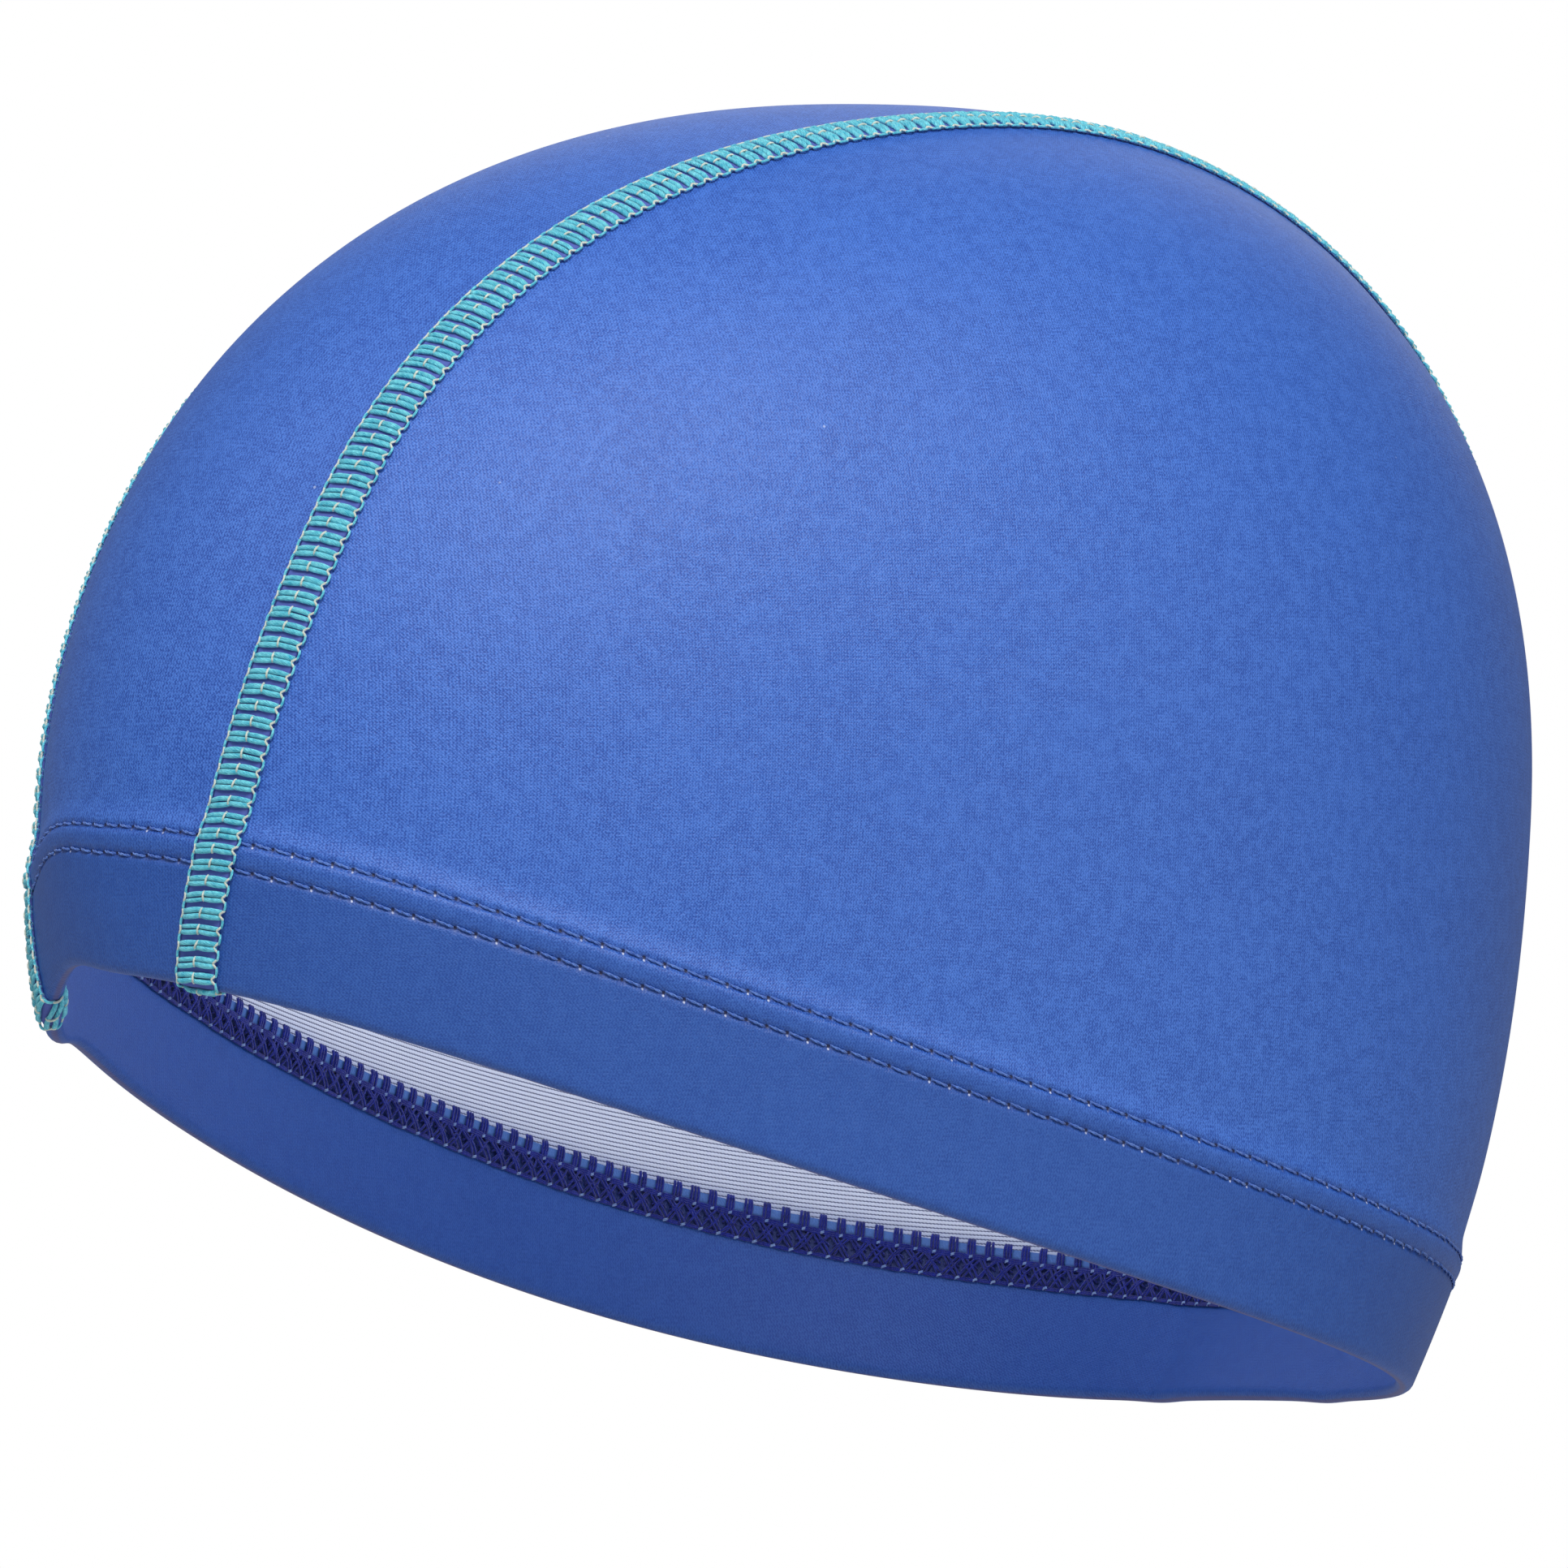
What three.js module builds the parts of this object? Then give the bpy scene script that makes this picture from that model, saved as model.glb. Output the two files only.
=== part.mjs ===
// Swim cap of rubber-coated knit, in the shape it takes on a head. Millimetres, +Z up.
// The forehead faces -Y and the nape +Y, and both sides of X = 0 are alike.
// Three cloth panels meet along two flat seams that run from hem to hem over the crown.
// Each panel's cloth is turned up inside at the hem, where a band of cover stitch holds it.
import * as THREE from "three";

// Driving dimensions of the dome, measured from the centre of its widest level.
const PLAN = [
  { toward: "forehead", degrees: 0, radius: 108.6 },
  { toward: "brow", degrees: 30, radius: 92.7 },
  { toward: "temple", degrees: 60, radius: 78.4 },
  { toward: "ear", degrees: 90, radius: 77.4 },
  { toward: "behind the ear", degrees: 120, radius: 83.3 },
  { toward: "back of the head", degrees: 150, radius: 88.3 },
  { toward: "nape", degrees: 180, radius: 91.4 },
];
const CROWN_RISE = 94.2;
const FOREHEAD_DEPTH = 78; // how deep the curve below the widest level would close
const NAPE_DEPTH = 98;
const EAR_DEPTH = 190;
const FULLNESS = 2.24; // power of the upright curve: 2 is an ellipse, more is squarer
const LEAN = 0.079; // the crown lies back by this much for each millimetre of height

// Hem: its height at the forehead, its fall towards the nape and how far the sides sag below that.
const HEM_FRONT = -18.3;
const HEM_SLOPE = 0.287;
const HEM_SAG = 7;

// Cloth and the turned-up hem.
const WALL = 1;
const FOLD_GAP = 0.3;
const HEM_THICKNESS = 2 * WALL + FOLD_GAP;
const FACING_HEIGHT = 19.7;
const BAND_HEIGHT = 23; // rows that follow the hem reach this high

// Centre strip: half its width, and how much narrower each half is at the hem.
const STRIP_HALF = 27.9;
const STRIP_NARROWING = 9;
const NARROWING_HEIGHT = 66;
const NARROWING_POWER = 1.85;
const EDGE_GAP = 0.3; // between two panels' cut edges

// Flat seams and the hem's cover stitch.
const SEAM_WIDTH = 6;
const SEAM_THICKNESS = 0.6;
const SEAM_END = 13.8; // how far up inside the front hem each seam shows
const COVER_LOW = 14.3;
const COVER_HIGH = 18.5;
const COVER_THICKNESS = 0.7;
const CLEARANCE = 0.35;
const SHOULDER = { across: 0.85, height: 0.8 }; // share of a band's half width and of its thickness
const STATIONS_INSIDE = [1, 0.7, 0.4]; // shares of SEAM_END
const STATIONS_OUTSIDE = [0.4, 0.8];
const LAST_OUTSIDE = 0.8 * BAND_HEIGHT;
const FOLD_MARGIN = 1.2; // how far above the fold's round the seam runs straight again

// Grid steps.
const SIDE_COLUMNS = 26;
const SIDE_ROWS = 14;
const STRIP_COLUMNS = 8;
const STRIP_ROWS = 36;
const HEM_STEPS = 4;
const FOLD_STEPS = 4;
const COVER_STATIONS = 72;
const FRONT_CORNER = 57; // degrees along the seam where a side panel's grid turns its corners
const BACK_CORNER = 150;

const BLUE = 0x4266be;
const TURQUOISE = 0x3cbecd;
const NAVY = 0x1e2396;
const CLOTH_ROUGHNESS = 0.55;
const THREAD_ROUGHNESS = 0.8;

const radians = THREE.MathUtils.degToRad;
const mix = THREE.MathUtils.lerp;

// Small steps, in radians, for slopes that are taken from neighbouring points.
const NORMAL_STEP = 1e-3;
const EDGE_STEP = 0.01;
const RISE_STEP = 0.05;

// Intervals that hold the angles looked for.
const HALVINGS = 40;
const HEM_CLIMBS = [radians(-60), radians(30)];
const CLIMBS_PAST_HEM = [-0.2, 0.8];
const SEAM_ASIDES = [0, radians(70)];
const SEAM_FRONT_ANGLES = [radians(-25), radians(40)];
const SEAM_BACK_ANGLES = [radians(180), radians(250)];

const steps = (count) => Array.from({ length: count + 1 }, (_, index) => index / count);

// Halves the interval until value(t) changes sign: value is below zero at low and above it at high.
function crossing(value, low, high) {
  for (let step = 0; step < HALVINGS; step++) {
    const middle = (low + high) / 2;
    if (value(middle) < 0) low = middle;
    else high = middle;
  }
  return (low + high) / 2;
}

// The plan outline is an even cosine series through these radii, worked on 1 / radius squared.
const halved = (index) => (index === 0 || index === PLAN.length - 1 ? 0.5 : 1);
const planSeries = PLAN.map((_, order) => {
  const last = PLAN.length - 1;
  const sum = PLAN.reduce(
    (total, row, index) =>
      total + halved(index) * Math.cos(order * radians(row.degrees)) / row.radius ** 2,
    0,
  );
  return halved(order) * (2 / last) * sum;
});

// Point of the outer face in a direction from the dome's centre:
// |flat / plan radius|^n + |height / depth|^n = 1, then leant back in proportion to its height.
function domePoint(direction) {
  const turn = Math.atan2(direction.x, -direction.y);
  const inverseSquare = planSeries.reduce((sum, share, order) => sum + share * Math.cos(order * turn), 0);
  const sideways = Math.sin(turn) ** 2;
  const endDepth = direction.y < 0 ? FOREHEAD_DEPTH : NAPE_DEPTH;
  const depth = direction.z > 0 ? CROWN_RISE : mix(endDepth, EAR_DEPTH, sideways);
  const flat = Math.hypot(direction.x, direction.y) * Math.sqrt(inverseSquare);
  const reach = (flat ** FULLNESS + (Math.abs(direction.z) / depth) ** FULLNESS) ** (-1 / FULLNESS);
  const point = direction.clone().multiplyScalar(reach);
  point.y += LEAN * point.z;
  return point;
}

// Outward normal of the outer face, from four neighbouring points.
function domeNormal(direction) {
  const aside = new THREE.Vector3(0, 0, 1).cross(direction);
  if (aside.length() < NORMAL_STEP) aside.set(1, 0, 0);
  aside.normalize();
  const along = direction.clone().cross(aside);
  const chord = (way) =>
    domePoint(direction.clone().addScaledVector(way, NORMAL_STEP).normalize()).sub(
      domePoint(direction.clone().addScaledVector(way, -NORMAL_STEP).normalize()),
    );
  return chord(aside).cross(chord(along)).normalize();
}

// Height of the folded hem edge above or below the widest level.
function hemHeight(point) {
  const length = PLAN[0].radius + PLAN[PLAN.length - 1].radius;
  const share = (point.y + PLAN[0].radius) / length;
  return HEM_FRONT - HEM_SLOPE * length * share - HEM_SAG * 4 * share * (1 - share);
}

// A direction given by its turn from the forehead and its angle above the level.
function upright(turn, climb) {
  const flat = Math.cos(climb);
  return new THREE.Vector3(Math.sin(turn) * flat, -Math.cos(turn) * flat, Math.sin(climb));
}

// A direction given by its angle from the forehead over the crown and its angle off to the side.
function lengthwise(along, aside) {
  const flat = Math.cos(aside);
  return new THREE.Vector3(Math.sin(aside), -Math.cos(along) * flat, Math.sin(along) * flat);
}

const heightOverHem = (direction) => {
  const point = domePoint(direction);
  return point.z - hemHeight(point);
};

const hemClimb = (turn) => crossing((climb) => heightOverHem(upright(turn, climb)), ...HEM_CLIMBS);

// Distance of a point from the folded edge, square to the edge, found on its own upright line.
function distanceFromHem(turn) {
  const low = hemClimb(turn);
  const foot = domePoint(upright(turn, low));
  const beside = turn + EDGE_STEP;
  const edge = domePoint(upright(beside, hemClimb(beside))).sub(foot).normalize();
  const rise = domePoint(upright(turn, low + RISE_STEP)).sub(foot).normalize();
  const squareness = rise.cross(edge).length();
  return (climb) => domePoint(upright(turn, climb)).distanceTo(foot) * squareness * Math.sign(climb - low);
}

function aboveHem(turn, distance) {
  const measure = distanceFromHem(turn);
  const [low, high] = CLIMBS_PAST_HEM.map((past) => hemClimb(turn) + past);
  return upright(turn, crossing((climb) => measure(climb) - distance, low, high));
}

// Direction of a seam at an angle along it: the strip is narrower near the hem.
// A shift moves the line off the seam towards the side panel.
function seamDirection(along, shift = 0) {
  const off = (aside) => {
    const direction = lengthwise(along, aside);
    const share = Math.max(0, 1 - Math.max(0, heightOverHem(direction)) / NARROWING_HEIGHT);
    const half = STRIP_HALF - STRIP_NARROWING * share ** NARROWING_POWER + shift;
    return domePoint(direction).x - half;
  };
  return lengthwise(along, crossing(off, ...SEAM_ASIDES));
}

const turnOf = (direction) => Math.atan2(direction.x, -direction.y);

// Angle along the seam at a distance from the front or back hem edge.
function seamAngle(distance, end, shift) {
  const away = (along) => {
    const direction = seamDirection(along, shift);
    const climb = Math.asin(direction.z);
    return distanceFromHem(turnOf(direction))(climb) - distance;
  };
  if (end === "front") return crossing(away, ...SEAM_FRONT_ANGLES);
  const [near, far] = SEAM_BACK_ANGLES;
  return -crossing((along) => away(-along), -far, -near);
}

// The hem's cloth from the band down, round the fold and up inside to its cut edge.
// Each row gives both faces as a distance above the fold and a depth below the outer face.
function hemSection() {
  const outer = WALL + FOLD_GAP / 2;
  const inner = FOLD_GAP / 2;
  const between = steps(HEM_STEPS).slice(1);
  const rows = between.slice(0, -1).map((share) => {
    const rise = mix(BAND_HEIGHT, outer, share);
    return { face: [rise, 0], back: [rise, WALL] };
  });
  for (let step = 0; step <= FOLD_STEPS; step++) {
    const turn = (Math.PI * step) / FOLD_STEPS;
    const at = (radius) => [outer - radius * Math.sin(turn), outer - radius * Math.cos(turn)];
    rows.push({ face: at(outer), back: at(inner) });
  }
  for (const share of between) {
    const rise = mix(outer, FACING_HEIGHT, share);
    rows.push({ face: [rise, 2 * outer], back: [rise, 2 * outer - WALL] });
  }
  return rows;
}

function offsetPoint(direction, depth) {
  return domePoint(direction).addScaledVector(domeNormal(direction), -depth);
}

// Rows of a panel's hem: turns lists each column's turn at a given distance above the edge.
function hemRows(turns) {
  const line = ([rise, depth]) => turns(rise).map((turn) => offsetPoint(aboveHem(turn, rise), depth));
  return hemSection().map((row) => ({ face: line(row.face), back: line(row.back) }));
}

// One row of cloth through a list of directions.
const clothRow = (directions) => ({
  face: directions.map((direction) => offsetPoint(direction, 0)),
  back: directions.map((direction) => offsetPoint(direction, WALL)),
});

// Side panel: a four-sided patch above the band, blended from its borders in a plane
// that looks along +X (stereographic), then the rows of the hem.
function sidePanelRows() {
  const shift = EDGE_GAP / 2;
  const plane = (direction) =>
    new THREE.Vector2(direction.y, direction.z).divideScalar(1 + direction.x);
  const lift = (flat) => {
    const square = flat.lengthSq();
    return new THREE.Vector3(1 - square, 2 * flat.x, 2 * flat.y).divideScalar(1 + square);
  };
  const turns = (rise) => {
    const first = turnOf(seamDirection(seamAngle(rise, "front", shift), shift));
    const last = turnOf(seamDirection(seamAngle(rise, "back", shift), shift));
    return steps(SIDE_COLUMNS).map((share) => mix(first, last, share));
  };
  const seamAt = (from, to, share) => plane(seamDirection(mix(from, to, share), shift));
  const front = seamAngle(BAND_HEIGHT, "front", shift);
  const back = seamAngle(BAND_HEIGHT, "back", shift);
  const bottom = turns(BAND_HEIGHT).map((turn) => plane(aboveHem(turn, BAND_HEIGHT)));
  const corners = [radians(FRONT_CORNER), radians(BACK_CORNER)];
  const rows = steps(SIDE_ROWS).map((drop) => {
    const up = 1 - drop;
    const left = seamAt(front, corners[0], up);
    const right = seamAt(back, corners[1], up);
    const directions = steps(SIDE_COLUMNS).map((share, column) => {
      const top = seamAt(corners[0], corners[1], share);
      const blend = bottom[column].clone().multiplyScalar(1 - up).addScaledVector(top, up);
      blend.addScaledVector(left, 1 - share).addScaledVector(right, share);
      blend.addScaledVector(bottom[0], -(1 - share) * (1 - up));
      blend.addScaledVector(bottom[SIDE_COLUMNS], -share * (1 - up));
      blend.addScaledVector(seamAt(corners[0], corners[1], 0), -(1 - share) * up);
      blend.addScaledVector(seamAt(corners[0], corners[1], 1), -share * up);
      return lift(blend);
    });
    return clothRow(directions);
  });
  return [...rows, ...hemRows(turns)];
}

// Centre strip: rows from seam to seam, from the front hem over the crown to the back hem.
function centrePanelRows() {
  const shift = -EDGE_GAP / 2;
  const across = steps(STRIP_COLUMNS).map((share) => 2 * share - 1);
  const frontTurns = (rise) => {
    const edge = turnOf(seamDirection(seamAngle(rise, "front", shift), shift));
    return across.map((share) => share * edge);
  };
  const backTurns = (rise) => {
    const edge = Math.PI - turnOf(seamDirection(seamAngle(rise, "back", shift), shift));
    return across.map((share) => Math.PI - share * edge);
  };
  const angleOf = (turn) => {
    const direction = aboveHem(turn, BAND_HEIGHT);
    const along = Math.atan2(direction.z, -direction.y);
    return along < radians(-90) ? along + 2 * Math.PI : along;
  };
  const front = frontTurns(BAND_HEIGHT).map(angleOf);
  const back = backTurns(BAND_HEIGHT).map(angleOf);
  const crownRows = steps(STRIP_ROWS).map((share) => {
    const edge = seamDirection(mix(front[0], back[0], share), shift);
    const aside = Math.asin(edge.x);
    return clothRow(
      across.map((place, column) => lengthwise(mix(front[column], back[column], share), place * aside)),
    );
  });
  return [...hemRows(frontTurns).reverse(), ...crownRows, ...hemRows(backTurns)];
}

// A closed body from triangles, turned so that its faces point out.
function closedBody(points, triangles) {
  const volume = triangles.reduce((sum, [a, b, c]) => {
    const normal = points[b].clone().cross(points[c]);
    return sum + points[a].dot(normal);
  }, 0);
  const index = volume < 0 ? triangles.map(([a, b, c]) => [a, c, b]) : triangles;
  const geometry = new THREE.BufferGeometry().setFromPoints(points);
  geometry.setIndex(index.flat());
  geometry.computeVertexNormals();
  return geometry;
}

// Cloth with thickness: a grid of points on the face, another on the back, and a rim all round.
function clothBody(rows) {
  const columns = rows[0].face.length;
  const points = [...rows.flatMap((row) => row.face), ...rows.flatMap((row) => row.back)];
  const back = rows.length * columns;
  const triangles = [];
  const quad = (a, b, c, d) => triangles.push([a, b, c], [a, c, d]);
  const at = (row, column) => row * columns + column;
  for (let row = 0; row + 1 < rows.length; row++)
    for (let column = 0; column + 1 < columns; column++) {
      const corners = [at(row, column), at(row, column + 1), at(row + 1, column + 1), at(row + 1, column)];
      quad(...corners);
      quad(...corners.map((corner) => corner + back).reverse());
    }
  const border = [
    ...steps(columns - 1).map((_, column) => at(0, column)),
    ...steps(rows.length - 1).map((_, row) => at(row, columns - 1)),
    ...steps(columns - 1).map((_, column) => at(rows.length - 1, columns - 1 - column)),
    ...steps(rows.length - 1).map((_, row) => at(rows.length - 1 - row, 0)),
  ].filter((corner, place, all) => corner !== all[(place + 1) % all.length]);
  border.forEach((corner, place) => {
    const next = border[(place + 1) % border.length];
    quad(next, corner, corner + back, next + back);
  });
  return closedBody(points, triangles);
}

// A body swept through sections of equally many points, closed on itself or capped at both ends.
function sweptBody(sections, closed) {
  const count = sections[0].length;
  const points = sections.flat();
  const triangles = [];
  const spans = closed ? sections.length : sections.length - 1;
  for (let span = 0; span < spans; span++)
    for (let side = 0; side < count; side++) {
      const here = span * count;
      const there = ((span + 1) % sections.length) * count;
      const next = (side + 1) % count;
      triangles.push([here + side, here + next, there + next], [here + side, there + next, there + side]);
    }
  if (!closed)
    for (let side = 1; side + 1 < count; side++) {
      const last = (sections.length - 1) * count;
      triangles.push([0, side + 1, side], [last, last + side, last + side + 1]);
    }
  return closedBody(points, triangles);
}

// Low arched section of a seam or stitch band: distance across and height over the cloth.
function archedSection(width, thickness) {
  const half = width / 2;
  return [
    [-half, CLEARANCE],
    [half, CLEARANCE],
    [half * SHOULDER.across, CLEARANCE + thickness * SHOULDER.height],
    [0, CLEARANCE + thickness],
    [-half * SHOULDER.across, CLEARANCE + thickness * SHOULDER.height],
  ];
}

// Seam line: up the inside of the front hem's facing, round its fold, over the crown and down to
// the underside of the fold at the nape, where it stops.
// Each station gives a point of the cloth's face, the way out of the cloth and the way across the seam.
// Near the hem the way across runs with the hem's edge, so that the seam folds where the cloth does.
function seamStations() {
  const fold = WALL + FOLD_GAP / 2;
  const hemStations = (end) => {
    const atFront = end === "front";
    const fullTurn = atFront ? Math.PI : Math.PI / 2;
    const station = (rise, depth, turnIn) => {
      const direction = seamDirection(seamAngle(rise, end));
      const turn = turnOf(direction);
      const beside = (step) => domePoint(aboveHem(turn + step, rise));
      const across = beside(EDGE_STEP).sub(beside(-EDGE_STEP));
      across.normalize().multiplyScalar(Math.sign(across.x));
      const out = domeNormal(direction);
      const up = out.clone().cross(across);
      up.multiplyScalar(Math.sign(up.z));
      const way = out.clone().multiplyScalar(Math.cos(turnIn)).addScaledVector(up, -Math.sin(turnIn));
      return { point: offsetPoint(direction, depth), out: way.normalize(), across };
    };
    const nearFold = fold + FOLD_MARGIN;
    const inside = atFront ? [...STATIONS_INSIDE.map((share) => SEAM_END * share), nearFold] : [];
    const outside = [nearFold, ...STATIONS_OUTSIDE.map((share) => SEAM_END * share), LAST_OUTSIDE];
    return [
      ...inside.map((rise) => station(rise, HEM_THICKNESS, Math.PI)),
      ...steps(FOLD_STEPS * 2).map((share) => {
        const turn = fullTurn * (1 - share);
        return station(fold - fold * Math.sin(turn), fold - fold * Math.cos(turn), turn);
      }),
      ...outside.map((rise) => station(rise, 0, 0)),
    ];
  };
  const front = seamAngle(BAND_HEIGHT, "front");
  const back = seamAngle(BAND_HEIGHT, "back");
  const crown = steps(STRIP_ROWS).map((share) => {
    const along = mix(front, back, share);
    const direction = seamDirection(along);
    const out = domeNormal(direction);
    const beside = (step) => domePoint(seamDirection(along + step));
    const run = beside(EDGE_STEP).sub(beside(-EDGE_STEP));
    return { point: domePoint(direction), out, across: run.cross(out).normalize() };
  });
  return [...hemStations("front"), ...crown, ...hemStations("back").reverse()];
}

function seamBody() {
  const stations = seamStations();
  const profile = archedSection(SEAM_WIDTH, SEAM_THICKNESS);
  const sections = stations.map(({ point, out, across }) => {
    return profile.map(([aside, height]) =>
      point.clone().addScaledVector(across, aside).addScaledVector(out, height),
    );
  });
  return sweptBody(sections, false);
}

// Cover stitch: a low band all round on the inside of the facing.
function coverBody() {
  const middle = (COVER_LOW + COVER_HIGH) / 2;
  const profile = archedSection(COVER_HIGH - COVER_LOW, COVER_THICKNESS);
  const sections = steps(COVER_STATIONS)
    .slice(0, COVER_STATIONS)
    .map((share) => {
      const turn = 2 * Math.PI * share;
      return profile.map(([aside, height]) =>
        offsetPoint(aboveHem(turn, middle + aside), HEM_THICKNESS + height),
      );
    });
  return sweptBody(sections, true);
}

function mirrored(geometry) {
  const points = [];
  const place = geometry.getAttribute("position");
  for (let index = 0; index < place.count; index++)
    points.push(new THREE.Vector3(-place.getX(index), place.getY(index), place.getZ(index)));
  const corners = geometry.getIndex().array;
  const triangles = [];
  for (let index = 0; index < corners.length; index += 3)
    triangles.push([corners[index], corners[index + 1], corners[index + 2]]);
  return closedBody(points, triangles);
}

function piece(name, geometry, color, roughness) {
  const mesh = new THREE.Mesh(
    geometry,
    new THREE.MeshStandardMaterial({ color, roughness, metalness: 0, side: THREE.FrontSide }),
  );
  mesh.name = name;
  return mesh;
}

const sidePanel = clothBody(sidePanelRows());
const seam = seamBody();

const cap = new THREE.Group();
cap.add(piece("side_panel_right", sidePanel, BLUE, CLOTH_ROUGHNESS));
cap.add(piece("side_panel_left", mirrored(sidePanel), BLUE, CLOTH_ROUGHNESS));
cap.add(piece("centre_panel", clothBody(centrePanelRows()), BLUE, CLOTH_ROUGHNESS));
cap.add(piece("flatlock_seam_right", seam, TURQUOISE, THREAD_ROUGHNESS));
cap.add(piece("flatlock_seam_left", mirrored(seam), TURQUOISE, THREAD_ROUGHNESS));
cap.add(piece("hem_coverstitch", coverBody(), NAVY, THREAD_ROUGHNESS));
// The origin is the inside top of the crown, where the cap sits on the head.
cap.position.set(0, -LEAN * CROWN_RISE, -(CROWN_RISE - WALL));

export default cap;
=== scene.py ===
import bpy
import numpy as np
from mathutils import Matrix, Vector


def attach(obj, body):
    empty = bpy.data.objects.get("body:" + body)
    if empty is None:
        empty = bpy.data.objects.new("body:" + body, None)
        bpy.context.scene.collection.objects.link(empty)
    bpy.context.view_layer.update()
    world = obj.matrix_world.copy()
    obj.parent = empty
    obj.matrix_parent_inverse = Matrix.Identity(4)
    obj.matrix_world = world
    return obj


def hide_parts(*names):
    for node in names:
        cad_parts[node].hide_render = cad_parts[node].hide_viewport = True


# Swim cap of rubber-coated knit, held in the shape that it takes on a head.
# Lengths are millimetres from the centre of the dome's widest level until a mesh is made.
# The forehead faces -Y and the nape +Y.

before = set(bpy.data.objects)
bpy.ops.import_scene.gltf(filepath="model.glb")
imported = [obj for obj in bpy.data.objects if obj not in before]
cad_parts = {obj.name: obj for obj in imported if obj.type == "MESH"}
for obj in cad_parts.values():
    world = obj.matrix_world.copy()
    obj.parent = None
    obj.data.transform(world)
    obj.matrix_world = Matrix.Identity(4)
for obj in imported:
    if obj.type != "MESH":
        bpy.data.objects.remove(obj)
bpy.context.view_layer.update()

MM = 0.001
rng = np.random.default_rng(7)

# Dome: plan radii every 30 degrees from forehead to nape, and the upright curve.
PLAN_RADII = np.array([108.6, 92.7, 78.4, 77.4, 83.3, 88.3, 91.4])
CROWN_RISE = 94.2
FOREHEAD_DEPTH = 78.0
NAPE_DEPTH = 98.0
EAR_DEPTH = 190.0
FULLNESS = 2.24
LEAN = 0.079

# Hem line and the folded cloth.
HEM_FRONT = -18.3
HEM_SLOPE = 0.287
HEM_SAG = 7.0
HEM_LENGTH = PLAN_RADII[0] + PLAN_RADII[-1]
WALL = 1.0
FOLD_GAP = 0.3
FOLD_OUTER = WALL + FOLD_GAP / 2
FOLD_INNER = FOLD_GAP / 2
HEM_THICKNESS = 2 * WALL + FOLD_GAP
FACING_HEIGHT = 19.7
BAND_HEIGHT = 23.0

# Centre strip.
STRIP_HALF = 27.9
STRIP_NARROWING = 9.0
NARROWING_HEIGHT = 66.0
NARROWING_POWER = 1.85
EDGE_GAP = 0.02
FRONT_CORNER = np.radians(57)
BACK_CORNER = np.radians(150)

# Hem stitches: each row's distance above the fold outside and inside, a stitch's length, how far
# the upper row inside leads the lower one in stitches, the bars over the cut edge, and the drop of
# the pale speck below a needle hole.
LOW_ROW = 15.0
HIGH_ROW = 18.3
HEM_PITCH = 2.62
COVER_LOW = 14.9
COVER_HIGH = 18.0
COVER_LEAD = 0.42
BAR_FOOT = 17.9
BAR_TOP = 20.3
SPECK_DROP = 0.34

# Form of the doubled hem: its swell off the dome, where the swell ends over the cut edge inside,
# how far the cloth draws in above, the ridge between the rows and each row's groove.
SWELL_GAIN = 0.95
SWELL_SINK = 0.4
SWELL_END = 17.2
SWELL_FADE = 4.6
DRAWN_IN = 0.2
DRAWN_LEVEL = 22.0
DRAWN_WIDTH = 6.0
HEM_RIDGE = 0.16
HEM_RIDGE_LEVEL = (LOW_ROW + HIGH_ROW) / 2 + 0.4
HEM_RIDGE_WIDTH = 1.1
LOW_GROOVE = 0.22
HIGH_GROOVE = 0.28
GROOVE_WIDTH = 0.5

# Flat seams: a stitch's length, where the seam ends inside the front hem, its half width, how far
# the thread of each edge leads the strands and runs either way, the cloth's rise into the seam,
# and the share of the hem's grooves that it follows.
SEAM_PITCH = 2.0
SEAM_END = 13.8
SEAM_HALF = 2.75
EDGE_LEADS = {-1: -0.5, 1: 0.12}
EDGE_RUN = 0.62
SEAM_RIDGE = 0.4
SEAM_RIDGE_WIDTH = 4.5
SEAM_DIP = 0.6

# Material numbers within a piece of threads.
STRAND, PALE, UNDER = 0, 1, 2

# The hem as worn at the left front seam: how far up and down it is drawn, where across, how wide,
# how far up it reaches, where in front of the middle it starts, and how much further it is whole.
ASKEW_RISE = 1.5
ASKEW_RISE_AT = -6.0
ASKEW_DROP = 3.8
ASKEW_DROP_AT = -24.0
ASKEW_WIDTH = 8.0
ASKEW_HEIGHT = 34.0
ASKEW_FRONT = 60.0
ASKEW_FADE = 25.0

# Knit: radii at which the cloth's angles are laid out flat, the pitches of its ribs and courses,
# and the pitch, slant and dash of the stripes inside.
EAR_RADIUS = 84.0
CROWN_RADIUS = 96.0
RIB_PITCH = 0.36
COURSE_PITCH = 0.46
STRIPE_PITCH = 0.56
STRIPE_SLANT = 0.08
DASH_PITCH = 0.5

# The row's frame has its origin at the inside top of the crown.
ORIGIN = np.array([0.0, LEAN * CROWN_RISE, CROWN_RISE - WALL])

# Small angles over which slopes are taken.
NORMAL_STEP = 1e-3
EDGE_STEP = 0.01
RISE_STEP = 0.05


def length(vector):
    """Length of each vector: the root of its squares' sum."""
    return np.linalg.norm(vector, axis=-1)


def unit(vector):
    """Each vector divided by its length."""
    return vector / np.maximum(length(vector), 1e-12)[..., None]


def mix(first, last, share):
    """Straight line from first to last."""
    return first + (last - first) * share


def smooth(share):
    """0 below 0, 1 above 1, and 3 s squared less 2 s cubed between."""
    share = np.clip(share, 0, 1)
    return share * share * (3 - 2 * share)


def bell(distance, middle, width):
    """1 at the middle, falling as e to the power of less the square of the distance over the width."""
    return np.exp(-(((distance - middle) / width) ** 2))


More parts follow.
